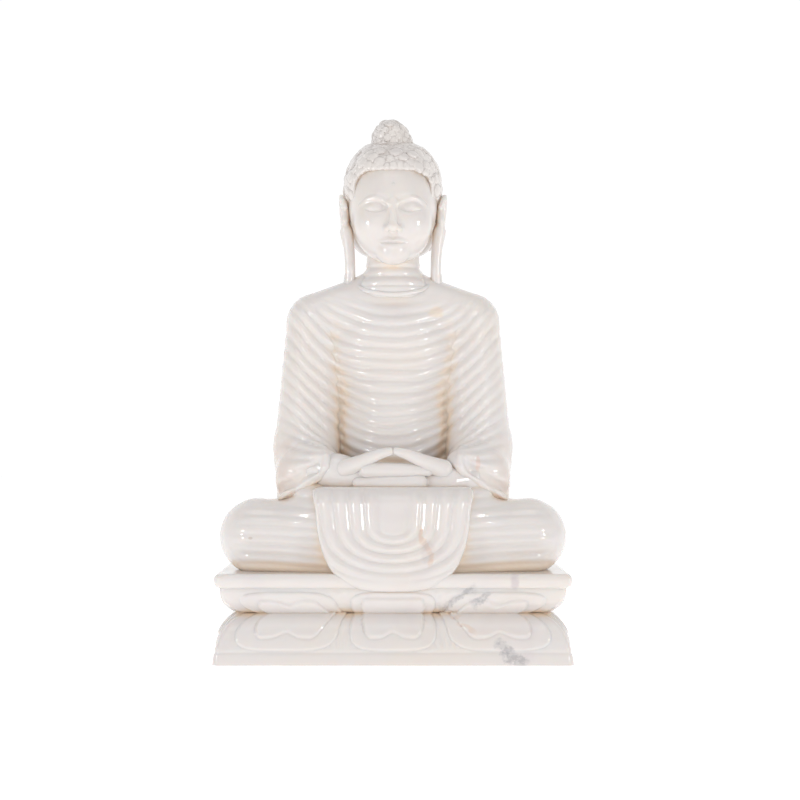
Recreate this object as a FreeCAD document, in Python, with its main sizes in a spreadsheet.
"""A carved stone figure seated in meditation on a two-tier lotus pedestal.

Frame: +Z up, the figure faces -Y, origin at the middle of the underside. Millimetres.
Left and right are the figure's own, so the right side is at -X.
Every sub-part is a carved form of the stone, closed and meeting its neighbours face to face.
"""

import FreeCAD, Part
import math
import os

import Sketcher
from FreeCAD import Placement, Rotation, Vector

PARTS_FOLDER = "parts"
LEFT, RIGHT = 1, -1
SIDES = ((RIGHT, "right"), (LEFT, "left"))
TINY = 1e-3  # mm, for telling places apart
PETAL_ROUNDING = 0.85  # of a petal's length, at the corners of its free end

doc = FreeCAD.newDocument("seated_figure")
sheet = doc.addObject("Spreadsheet::Sheet", "sizes")

# ---------------------------------------------------------------- driving dimensions

PEDESTAL_SIZES = {
    "base_width": 292,  # lower tier, side to side
    "base_depth": 180,  # lower tier, front to back
    "base_corner_radius": 9,  # in plan
    "lower_tier_height": 40,
    "lower_tier_band": 16,  # upright band below the quarter round of the lower tier
    "upper_tier_height": 21,
    "upper_tier_band": 2,  # upright band above the quarter round of the upper tier
    "upper_tier_setback": 2.5,  # the upper tier stands in from the slab's edge
    "slab_width": 290,
    "slab_depth": 171,
    "slab_thickness": 12,
    "slab_edge_round": 4.5,
    "petal_relief": 1.6,  # how far a petal stands out of its tier
    "petal_root_drop": 1,  # from the tier's flat face to the root of its petals
    "petal_gap": 14,  # between two petals at their widest
    "front_petal_width": 78,
    "side_petal_width": 56,
    "lower_petal_length": 26,
    "upper_petal_length": 15,
}

DRAPE_SIZES = {
    "drape_width": 130,
    "drape_lap": 2,  # its top edge reaches this far above the underside of the hands
    "drape_drop": 15,  # below the seat
    "drape_proud": 4.5,  # in front of the slab's edge
    "drape_thickness": 34,
}

HAND_SIZES = {
    "hand_length": 108,  # wrist to fingertips
    "hand_depth": 32,
    "hand_thickness": 11,
    "hand_corner_radius": 10,  # in plan
    "hand_height": 64,  # underside of the lower hand above the seat
    "hand_reach": 62,  # front edge of the hands in front of the middle
    "hand_overlap": 48,  # the fingers that lie on each other, each side of the middle
    "thumb_radius": 4.2,
    "thumb_length": 42,
    "thumb_slope": 26,  # degrees
}

HEAD_SIZES = {
    "chin_height": 256,  # above the seat
    "neck_radius": 22,
    "neck_setback": 10,
    "collar_gap": 4,  # from the neck to the middle of the collar's roll
    "collar_thickness": 4,
    "collar_slope": 5,  # degrees, the front hangs lower
    "hair_half_width": 41.5,
    "hair_half_depth": 47,
    "hair_half_height": 38,
    "hair_height": 58,  # middle of the hair above the chin
    "hair_setback": 9,
    "hairline_height": 78,  # above the chin, at the forehead
    "hairline_depth": 26,  # how far back the face opening reaches, behind the brow
    "topknot_half_width": 16.5,
    "topknot_half_height": 21,
    "topknot_height": 107,  # middle of the topknot above the chin
    "lobe_sink": 2,  # how deep the ear lobes sit in the shoulders
    "lobe_strip_rise": 17,  # from the shoulders to the thin strip above the lobe
    "urna_radius": 2.4,
    "urna_rise": 3,  # above the widest part of the brow
    "urna_proud": 1.2,  # middle of the dot in front of that part
}

# Each station of a loft: name, place along the loft, sideways or upward middle, setback, half sizes.
# Torso, sleeves, head and ears are lofted upwards, the legs sideways.
TORSO = [  # height above the seat, setback, half width, half depth
    ("seat", 0, 34, 92, 46),
    ("hip", 34, 26, 80, 44),
    ("waist", 90, 14, 56, 37),
    ("ribs", 140, 12, 56, 37),
    ("chest", 185, 10, 66, 38),
    ("shoulder", 214, 12, 70, 34),
    ("yoke", 233, 12, 60, 29),
    ("collar", 243, 11, 40, 26),
]
SLEEVE = [  # height above the seat, distance out, setback, half width, half depth
    ("hem", 48, 74, -8, 24, 47),
    ("cuff", 72, 74, -8, 27, 48),
    ("elbow", 98, 73, -1, 27, 42),
    ("arm", 145, 74, 8, 23, 32),
    ("armpit", 185, 73, 11, 20, 29),
    ("cap", 219, 69, 12, 16, 26),
    ("top", 232, 63, 12, 13, 18),
]
LEG = [  # distance out, height above the seat, setback, half depth, half height
    ("middle", 0, 22, -22, 50, 30),
    ("shin", 50, 26, -24, 50, 31),
    ("thigh", 98, 28, -26, 46, 29),
    ("knee", 127, 28, -28, 34, 23),
    ("kneecap", 139, 28, -29, 18, 13),
    ("knee_tip", 143, 28, -29, 6, 5),
]
HEAD = [  # height above the chin, setback, half width, half depth
    ("chin", 0, -17, 8, 9),
    ("jaw", 7, -10, 20, 21),
    ("mouth", 19, -3, 30, 33),
    ("cheek", 38, 4, 34.5, 39),
    ("brow", 62, 7, 38, 42),
    ("crown", 82, 8, 26, 31),
]
EAR_LOBE = [  # distance out, setback, half width, half depth, low on the shoulders
    ("lobe", 37, 9, 4.2, 6),
    ("strip", 36, 9, 3.3, 5),
]
EAR = [  # height above the chin, distance out, setback, half width, half depth
    ("root", 24, 36.5, 9, 4.6, 6.5),
    ("shell", 42, 40.5, 11, 6, 9),
    ("rim", 54, 42, 12, 5, 8),
    ("tip", 59, 41.5, 12, 2.6, 4),
]

row = 0


def write_size(alias, value):
    global row
    row += 1
    sheet.set(f"A{row}", alias)
    sheet.set(f"B{row}", str(value))
    sheet.setAlias(f"B{row}", alias)


def write_stations(part, fields, stations):
    for station, *values in stations:
        for field, value in zip(fields, values):
            write_size(f"{part}_{station}_{field}", value)


for group in (PEDESTAL_SIZES, DRAPE_SIZES, HAND_SIZES, HEAD_SIZES):
    for alias, value in group.items():
        write_size(alias, value)
write_stations("torso", ("height", "setback", "half_width", "half_depth"), TORSO)
write_stations("sleeve", ("height", "out", "setback", "half_width", "half_depth"), SLEEVE)
write_stations("leg", ("out", "height", "setback", "half_depth", "half_height"), LEG)
write_stations("head", ("height", "setback", "half_width", "half_depth"), HEAD)
write_stations("ear", ("out", "setback", "half_width", "half_depth"), EAR_LOBE)
write_stations("ear", ("height", "out", "setback", "half_width", "half_depth"), EAR)
doc.recompute()

SEAT = "(sizes.lower_tier_height + sizes.upper_tier_height + sizes.slab_thickness)"
CHIN = f"({SEAT} + sizes.chin_height)"
SLAB_FRONT = "(sizes.slab_depth / 2)"
HAND_TOP = f"({SEAT} + sizes.hand_height + 2 * sizes.hand_thickness)"
TORSO_TOP = f"({SEAT} + sizes.torso_{TORSO[-1][0]}_height)"
LOWER_ROUND = "(sizes.lower_tier_height - sizes.lower_tier_band)"
UPPER_ROUND = "(sizes.upper_tier_height - sizes.upper_tier_band)"

parts = []


# ---------------------------------------------------------------- building blocks


def keep(thing, label):
    """Marks a finished object as the sub-part with that name."""
    thing.Label = label
    parts.append(thing)
    return thing


def bind(thing, **expressions):
    for name, text in expressions.items():
        thing.setExpression(name.replace("__", "."), text)
    return thing


def place(thing, x="0", y="0", z="0"):
    """Binds the place of an object to the sheet."""
    return bind(thing, Placement__Base__x=x, Placement__Base__y=y, Placement__Base__z=z)


def primitive(kind, name, at=("0", "0", "0"), turn=None, **sizes):
    made = doc.addObject(f"Part::{kind}", name)
    if turn:
        made.Placement = Placement(Vector(), turn)
    return place(bind(made, **sizes), *at)


def cut(name, base, *tools):
    """The base with every tool taken away, one after the other."""
    for number, tool in enumerate(tools):
        made = doc.addObject("Part::Cut", f"{name}_cut_{number}")
        made.Base, made.Tool = base, tool
        base = made
    return base


def fuse(name, *shapes):
    made = doc.addObject("Part::MultiFuse", name)
    made.Shapes = list(shapes)
    return made


def oval(name, half_x, half_y, at):
    """An ellipse with those half sizes in its own plane, whichever of them is the longer."""
    made = doc.addObject("Part::Ellipse", name)
    made.MajorRadius, made.MinorRadius = 100, 1  # the longer has to be set first
    bind(made, MajorRadius=f"max({half_x}; {half_y})", MinorRadius=f"min({half_x}; {half_y})")
    return place(made, *at)


def loft(name, sections):
    made = doc.addObject("Part::Loft", name)
    made.Sections = sections
    made.Solid, made.Ruled, made.Closed = True, False, False
    return made


ON_SIDE = Rotation(Vector(0, 1, 0), Vector(0, 0, 1), Vector(1, 0, 0), "ZXY")  # across X


def level_oval(part, name, station, side, height):
    """One oval of an upright loft; side moves it out to the left or the right."""
    cell = f"sizes.{part}_{station}_"
    out = f"{side} * {cell}out" if side else "0"
    at = (out, f"{cell}setback", height)
    wide, deep = f"{cell}half_width", f"{cell}half_depth"
    made = oval(f"{name}_{station}", wide, deep, at)
    made.Placement.Rotation = Rotation(Vector(0, 0, 1), 90)
    return bind(made, Placement__Rotation__Angle=f"{wide} >= {deep} ? 0 : 90")


def upright_loft(part, name, stations, side=0, base=SEAT, below=()):
    """A loft upwards, through the ovals given as below and then those of the stations."""
    sections = [
        level_oval(part, name, station, side, f"{base} + sizes.{part}_{station}_height")
        for station, *_ in stations
    ]
    return loft(name, list(below) + sections)


def side_loft(part, name, stations, side, base=SEAT):
    """A loft sideways through ovals, from the middle out to the left or the right."""
    sections = []
    for station, *_ in stations:
        cell = f"sizes.{part}_{station}_"
        at = (f"{side} * {cell}out", f"{cell}setback", f"{base} + {cell}height")
        section = oval(f"{name}_{station}", f"{cell}half_depth", f"{cell}half_height", at)
        section.Placement.Rotation = ON_SIDE
        sections.append(section)
    return loft(name, sections)


def origin_plane(body, role):
    return next(f for f in body.Origin.OriginFeatures if f.Role == role)


def rectangle_body(name, width, depth, bottom, height, corner):
    """A body with a rounded rectangle padded upwards, centred on the origin."""
    body = doc.addObject("PartDesign::Body", name)
    sketch = body.newObject("Sketcher::SketchObject", f"{name}_plan")
    sketch.AttachmentSupport = [(origin_plane(body, "XY_Plane"), "")]
    sketch.MapMode = "FlatFace"
    # any small rectangle; the two expressions below give it its real size
    corners = [Vector(-9, -6, 0), Vector(9, -6, 0), Vector(9, 6, 0), Vector(-9, 6, 0)]
    for start, end in zip(corners, corners[1:] + corners[:1]):
        sketch.addGeometry(Part.LineSegment(start, end))
    for line in range(4):
        sketch.addConstraint(Sketcher.Constraint("Coincident", line, 2, (line + 1) % 4, 1))
    for line, way in enumerate(("Horizontal", "Vertical", "Horizontal", "Vertical")):
        sketch.addConstraint(Sketcher.Constraint(way, line))
    sketch.addConstraint(Sketcher.Constraint("Symmetric", 0, 1, 1, 2, -1, 1))
    across = sketch.addConstraint(Sketcher.Constraint("DistanceX", 0, 1, 0, 2, 18))
    along = sketch.addConstraint(Sketcher.Constraint("DistanceY", 1, 1, 1, 2, 12))
    sketch.setExpression(f"Constraints[{across}]", width)
    sketch.setExpression(f"Constraints[{along}]", depth)
    pad = body.newObject("PartDesign::Pad", f"{name}_pad")
    pad.Profile = sketch
    pad.setExpression("Length", height)
    place(body, z=bottom)
    doc.recompute()
    round_edges(body, f"{name}_corners", upright_edges(body), corner)
    return body


def upright_edges(body):
    """The straight upright edges of the body's last feature."""
    return [
        f"Edge{n}"
        for n, edge in enumerate(body.Tip.Shape.Edges, 1)
        if edge_runs_along(edge, "z")
    ]


def level_edges(body, top):
    """The edges all round the top, or all round the bottom, of the body's last feature."""
    box = body.Tip.Shape.BoundBox
    level = box.ZMax if top else box.ZMin
    return [
        f"Edge{n}"
        for n, edge in enumerate(body.Tip.Shape.Edges, 1)
        if abs(edge.BoundBox.ZMin - level) < TINY and abs(edge.BoundBox.ZMax - level) < TINY
    ]


def edge_runs_along(edge, axis):
    """Whether an edge starts out along that axis of the document: x, y or z."""
    return abs(abs(getattr(edge.tangentAt(edge.FirstParameter), axis)) - 1) < TINY


def round_edges(body, name, edges, radius):
    """Rounds edges of the body's last feature."""
    base = body.Tip
    fillet = body.newObject("PartDesign::Fillet", name)
    fillet.Base = (base, edges)
    fillet.setExpression("Radius", radius)
    doc.recompute()


def round_block(block, name, radius, chosen):
    """A copy of a block with rounded edges, picked by a test on each edge."""
    doc.recompute()
    rounded = doc.addObject("Part::Fillet", name)
    rounded.Base = block
    edges = [n for n, edge in enumerate(block.Shape.Edges, 1) if chosen(edge)]
    rounded.Edges = [(n, radius, radius) for n in edges]
    return rounded


# ---------------------------------------------------------------- pedestal


def make_lower_tier():
    body = rectangle_body(
        "lower_tier",
        "sizes.base_width",
        "sizes.base_depth",
        "0",
        "sizes.lower_tier_height",
        "sizes.base_corner_radius",
    )
    round_edges(body, "lower_tier_ovolo", level_edges(body, top=True), LOWER_ROUND)
    return body


def make_upper_tier():
    body = rectangle_body(
        "upper_tier",
        "sizes.slab_width - 2 * sizes.upper_tier_setback",
        "sizes.slab_depth - 2 * sizes.upper_tier_setback",
        "sizes.lower_tier_height",
        "sizes.upper_tier_height",
        "sizes.base_corner_radius",
    )
    round_edges(body, "upper_tier_ovolo", level_edges(body, top=False), UPPER_ROUND)
    return body


def make_slab():
    body = rectangle_body(
        "slab",
        "sizes.slab_width",
        "sizes.slab_depth",
        "sizes.lower_tier_height + sizes.upper_tier_height",
        "sizes.slab_thickness",
        "sizes.base_corner_radius",
    )
    edges = level_edges(body, top=True) + level_edges(body, top=False)
    round_edges(body, "slab_edge", edges, "sizes.slab_edge_round")
    return body


lower_tier = keep(make_lower_tier(), "lower_lotus_tier")
upper_tier = keep(make_upper_tier(), "upper_lotus_tier")
slab = keep(make_slab(), "seat_slab")

# ---------------------------------------------------------------- legs, torso and sleeves

below_seat = primitive(
    "Box",
    "below_seat",
    at=("-sizes.base_width", "-sizes.base_depth", "0"),
    Length="2 * sizes.base_width",
    Width="2 * sizes.base_depth",
    Height=SEAT,
)
right_leg_form = side_loft("leg", "right_leg_form", LEG, RIGHT)
left_leg_form = side_loft("leg", "left_leg_form", LEG, LEFT)
keep(cut("right_leg", right_leg_form, below_seat), "right_leg")
keep(cut("left_leg", left_leg_form, below_seat), "left_leg")

torso_form = upright_loft("torso", "torso_form", TORSO)
keep(cut("torso", torso_form, right_leg_form, left_leg_form), "robed_torso")

sleeves = {}
for side, label in SIDES:
    form = upright_loft("sleeve", f"{label}_sleeve_form", SLEEVE, side)
    leg_form = right_leg_form if side == RIGHT else left_leg_form
    sleeves[side] = keep(cut(f"{label}_sleeve", form, torso_form, leg_form), f"{label}_sleeve")

# ---------------------------------------------------------------- hands in the lap


def make_hand(label, side, level):
    """A flat hand, palm up, whose fingers reach past the middle towards the other side."""
    start = "sizes.hand_overlap - sizes.hand_length" if side == RIGHT else "-sizes.hand_overlap"
    block = primitive(
        "Box",
        f"{label}_hand_block",
        at=(start, "-sizes.hand_reach", f"{SEAT} + sizes.hand_height + {level} * sizes.hand_thickness"),
        Length="sizes.hand_length",
        Width="sizes.hand_depth",
        Height="sizes.hand_thickness",
    )
    corner = HAND_SIZES["hand_corner_radius"]
    return round_block(block, f"{label}_hand_form", corner, lambda edge: edge_runs_along(edge, "z"))


def make_thumb(label, side):
    """A thumb that leans up from the palm to meet the other one over the middle."""
    tip = (
        "0",
        "-sizes.hand_reach + 2 * sizes.thumb_radius",
        f"{HAND_TOP} + sizes.thumb_length * sin(sizes.thumb_slope * 1deg)",
    )
    stem = primitive(
        "Cylinder",
        f"{label}_thumb_stem",
        at=tip,
        turn=Rotation(Vector(0, side, 0), 1),
        Radius="sizes.thumb_radius",
        Height="sizes.thumb_length",
    )
    bind(stem, Placement__Rotation__Angle="90 + sizes.thumb_slope")
    ball = primitive("Sphere", f"{label}_thumb_tip", at=tip, Radius="sizes.thumb_radius")
    other_side = primitive(
        "Box",
        f"{label}_thumb_middle",
        at=("0" if side == RIGHT else "-sizes.hand_length", "-sizes.base_depth", "0"),
        Length="sizes.hand_length",
        Width="2 * sizes.base_depth",
        Height="2 * sizes.chin_height",
    )
    return cut(f"{label}_thumb", fuse(f"{label}_thumb_form", stem, ball), other_side)


left_hand_form = make_hand("left", LEFT, 0)
right_hand_form = make_hand("right", RIGHT, 1)
around_hands = (torso_form, right_leg_form, left_leg_form, sleeves[RIGHT], sleeves[LEFT])
left_hand = keep(cut("left_hand", left_hand_form, *around_hands), "left_hand")
right_hand = keep(cut("right_hand", right_hand_form, *around_hands), "right_hand")
for side, label in SIDES:
    thumb = make_thumb(label, side)
    others = (right_hand_form, left_hand_form, sleeves[side], torso_form)
    keep(cut(f"{label}_thumb_trim", thumb, *others), f"{label}_thumb")

# ---------------------------------------------------------------- lap drape


def make_drape():
    """A robe end that lies over the crossed shins and hangs over the slab's front edge."""
    body = doc.addObject("PartDesign::Body", "drape")
    sketch = body.newObject("Sketcher::SketchObject", "drape_outline")
    sketch.AttachmentSupport = [(origin_plane(body, "XZ_Plane"), "")]
    sketch.MapMode = "FlatFace"
    # top edge, right side, round foot and left side, in the plane's own x and y; any small size will do
    sketch.addGeometry(Part.LineSegment(Vector(-20, 50, 0), Vector(20, 50, 0)))
    sketch.addGeometry(Part.LineSegment(Vector(20, 50, 0), Vector(20, 20, 0)))
    foot = Part.Circle(Vector(0, 20, 0), Vector(0, 0, 1), 20)
    sketch.addGeometry(Part.ArcOfCircle(foot, math.pi, 2 * math.pi))
    sketch.addGeometry(Part.LineSegment(Vector(-20, 20, 0), Vector(-20, 50, 0)))
    join = Sketcher.Constraint
    sketch.addConstraint(join("Coincident", 0, 2, 1, 1))
    sketch.addConstraint(join("Coincident", 3, 2, 0, 1))
    sketch.addConstraint(join("Tangent", 1, 2, 2, 2))
    sketch.addConstraint(join("Tangent", 2, 1, 3, 1))
    sketch.addConstraint(join("Horizontal", 0))
    sketch.addConstraint(join("Vertical", 1))
    sketch.addConstraint(join("Vertical", 3))
    sketch.addConstraint(join("PointOnObject", 2, 3, -2))
    wide = sketch.addConstraint(join("DistanceX", 0, 1, 0, 2, 40))
    high = sketch.addConstraint(join("DistanceY", -1, 1, 0, 2, 50))
    low = sketch.addConstraint(join("DistanceY", -1, 1, 2, 3, 20))
    sketch.setExpression(f"Constraints[{wide}]", "sizes.drape_width")
    sketch.setExpression(f"Constraints[{high}]", f"{SEAT} + sizes.hand_height + sizes.drape_lap")
    centre = f"{SEAT} - sizes.drape_drop + sizes.drape_width / 2"
    sketch.setExpression(f"Constraints[{low}]", centre)
    pad = body.newObject("PartDesign::Pad", "drape_pad")
    pad.Profile = sketch
    pad.Reversed = True  # backwards, into the legs
    pad.setExpression("Length", "sizes.drape_thickness")
    place(body, y=f"-({SLAB_FRONT} + sizes.drape_proud)")
    doc.recompute()
    return body


drape_form = make_drape()
around_drape = (slab, upper_tier, right_leg_form, left_leg_form, left_hand_form, right_hand_form, torso_form)
keep(cut("lap_drape", drape_form, *around_drape, sleeves[RIGHT], sleeves[LEFT]), "lap_drape")

# ---------------------------------------------------------------- neck, head, hair and ears

head_form = upright_loft("head", "head_form", HEAD, base=CHIN)
keep(head_form, "head")

neck_form = primitive(
    "Cylinder",
    "neck_form",
    at=("0", "sizes.neck_setback", TORSO_TOP),
    Radius="sizes.neck_radius",
    Height=f"{CHIN} + sizes.head_mouth_height - {TORSO_TOP}",
)
keep(cut("neck", neck_form, head_form), "neck")

collar_ring = primitive(
    "Torus",
    "collar_ring",
    at=("0", "sizes.neck_setback", TORSO_TOP),
    turn=Rotation(Vector(1, 0, 0), 1),
    Radius1="sizes.neck_radius + sizes.collar_gap",
    Radius2="sizes.collar_thickness",
)
bind(collar_ring, Placement__Rotation__Angle="sizes.collar_slope")
keep(cut("collar", collar_ring, torso_form, neck_form, head_form), "robe_collar")

hair_dome = primitive(
    "Ellipsoid",
    "hair_dome",
    at=("0", "sizes.hair_setback", f"{CHIN} + sizes.hair_height"),
    Radius1="sizes.hair_half_height",
    Radius2="sizes.hair_half_width",
    Radius3="sizes.hair_half_depth",
)
face_opening = primitive(
    "Box",
    "face_opening",
    at=("-sizes.hair_half_width", "-2 * sizes.hair_half_depth", "0"),
    Length="2 * sizes.hair_half_width",
    Width="2 * sizes.hair_half_depth + sizes.hair_setback - sizes.hairline_depth / 2",
    Height=f"{CHIN} + sizes.hairline_height",
)
hair = keep(cut("hair", hair_dome, head_form, face_opening, neck_form), "hair_cap")

topknot_form = primitive(
    "Ellipsoid",
    "topknot_form",
    at=("0", "sizes.hair_setback", f"{CHIN} + sizes.topknot_height"),
    Radius1="sizes.topknot_half_height",
    Radius2="sizes.topknot_half_width",
    Radius3="sizes.topknot_half_width",
)
keep(cut("topknot", topknot_form, hair_dome), "topknot")

URNA_FRONT = "sizes.head_brow_setback - sizes.head_brow_half_depth - sizes.urna_proud"
urna_ball = primitive(
    "Sphere",
    "urna_ball",
    at=("0", URNA_FRONT, f"{CHIN} + sizes.head_brow_height + sizes.urna_rise"),
    Radius="sizes.urna_radius",
)
keep(cut("urna", urna_ball, head_form), "urna")

for side, label in SIDES:
    name = f"{label}_ear_form"
    lobe_height = f"{TORSO_TOP} - sizes.lobe_sink"
    lobe = [
        level_oval("ear", name, "lobe", side, lobe_height),
        level_oval("ear", name, "strip", side, f"{lobe_height} + sizes.lobe_strip_rise"),
    ]
    ear_form = upright_loft("ear", name, EAR, side, base=CHIN, below=lobe)
    around_ear = (head_form, hair, torso_form, neck_form)
    keep(cut(f"{label}_ear", ear_form, *around_ear), f"{label}_ear")

# ---------------------------------------------------------------- lotus petals in relief


def petal_prism(name, facing, middle, width, inner, bottom, length, free_end):
    """A tongue from outside the tier in to its flat face; its free end has rounded corners.

    inner is the distance of the flat face's edge from the middle of the pedestal.
    """
    outer = "sizes.base_width"  # well outside the tier
    start = inner if facing in ("back", "left") else f"-{outer}"
    deep = f"{outer} - {inner}"
    sideways = f"{middle} - {width} / 2"
    if facing in ("front", "back"):
        block = primitive("Box", f"{name}_block", at=(sideways, start, bottom))
        bind(block, Length=width, Width=deep, Height=length)
    else:
        block = primitive("Box", f"{name}_block", at=(start, sideways, bottom))
        bind(block, Length=deep, Width=width, Height=length)
    doc.recompute()
    box = block.Shape.BoundBox
    level = box.ZMax if free_end == "top" else box.ZMin
    across = "y" if facing in ("front", "back") else "x"
    return round_block(
        block,
        name,
        PETAL_ROUNDING * box.ZLength,
        lambda edge: abs(edge.CenterOfMass.z - level) < TINY and edge_runs_along(edge, across),
    )


def petals_of(name, tier, grown, plan, bottom, length, free_end):
    """Every petal of one tier: three along the front and the back, two along each side.

    plan is the width and the depth of the tier and the radius of its quarter round.
    """
    width, depth, rounding = plan
    long_row = [f"{n} * (sizes.front_petal_width + sizes.petal_gap)" for n in (-1, 0, 1)]
    short_row = [f"{n} * (sizes.side_petal_width + sizes.petal_gap) / 2" for n in (-1, 1)]
    rows = [(facing, long_row, "sizes.front_petal_width", depth) for facing in ("front", "back")]
    rows += [(facing, short_row, "sizes.side_petal_width", width) for facing in ("right", "left")]
    prisms = []
    for facing, middles, petal_width, across in rows:
        inner = f"({across} / 2 - {rounding})"
        for n, middle in enumerate(middles, 1):
            prism = f"{name}_{facing}_{n}"
            prisms.append(petal_prism(prism, facing, middle, petal_width, inner, bottom, length, free_end))
    shell = cut(f"{name}_shell", grown, tier)
    petals = doc.addObject("Part::Common", name)
    petals.Base, petals.Tool = shell, fuse(f"{name}_prisms", *prisms)
    return petals


def grown_tier(name, width, depth, bottom, height, radius, top):
    """A tier's own form made larger all round by the relief of its petals."""
    relief = "sizes.petal_relief"
    body = rectangle_body(
        name,
        f"{width} + 2 * {relief}",
        f"{depth} + 2 * {relief}",
        bottom if top else f"{bottom} - {relief}",
        f"{height} + {relief}",
        f"sizes.base_corner_radius + {relief}",
    )
    round_edges(body, f"{name}_ovolo", level_edges(body, top), f"{radius} + {relief}")
    return body


LOWER_PLAN = ("sizes.base_width", "sizes.base_depth")
lower_grown = grown_tier("lower_grown", *LOWER_PLAN, "0", "sizes.lower_tier_height", LOWER_ROUND, top=True)
lower_petals = petals_of(
    "lower_petals_relief",
    lower_tier,
    lower_grown,
    (*LOWER_PLAN, LOWER_ROUND),
    "sizes.lower_tier_height - sizes.petal_root_drop - sizes.lower_petal_length",
    "sizes.lower_petal_length",
    "bottom",
)
keep(lower_petals, "lower_petals")

UPPER_PLAN = (
    "(sizes.slab_width - 2 * sizes.upper_tier_setback)",
    "(sizes.slab_depth - 2 * sizes.upper_tier_setback)",
)
UPPER_BOTTOM = "sizes.lower_tier_height"
upper_grown = grown_tier(
    "upper_grown", *UPPER_PLAN, UPPER_BOTTOM, "sizes.upper_tier_height", UPPER_ROUND, top=False
)
upper_petals = petals_of(
    "upper_petals_relief",
    upper_tier,
    upper_grown,
    (*UPPER_PLAN, UPPER_ROUND),
    f"{UPPER_BOTTOM} + sizes.petal_root_drop",
    "sizes.upper_petal_length",
    "top",
)
keep(upper_petals, "upper_petals")

# ---------------------------------------------------------------- check and write


def faults_of(thing):
    """What is wrong with a finished sub-part, as words."""
    shape = thing.Shape
    if shape.isNull() or not shape.Solids:
        return ["has no solid"]
    found = [] if shape.isValid() else ["is not valid"]
    return found + ([] if all(s.isClosed() for s in shape.Solids) else ["is open"])


def write_parts():
    doc.recompute()
    failed = [o.Name for o in doc.Objects if {"Invalid", "Error"} & set(o.State)]
    if failed:
        raise RuntimeError(f"these objects failed: {failed}")
    wrong = {p.Label: faults_of(p) for p in parts if faults_of(p)}
    if wrong:
        raise RuntimeError(f"these sub-parts are faulty: {wrong}")
    os.makedirs(PARTS_FOLDER, exist_ok=True)
    for thing in parts:
        shape = thing.Shape
        shape.exportStep(os.path.join(PARTS_FOLDER, f"{thing.Label}.step"))
        print(f"{thing.Label}: {len(shape.Solids)} solid(s), {shape.Volume / 1000:.1f} cm3")


write_parts()
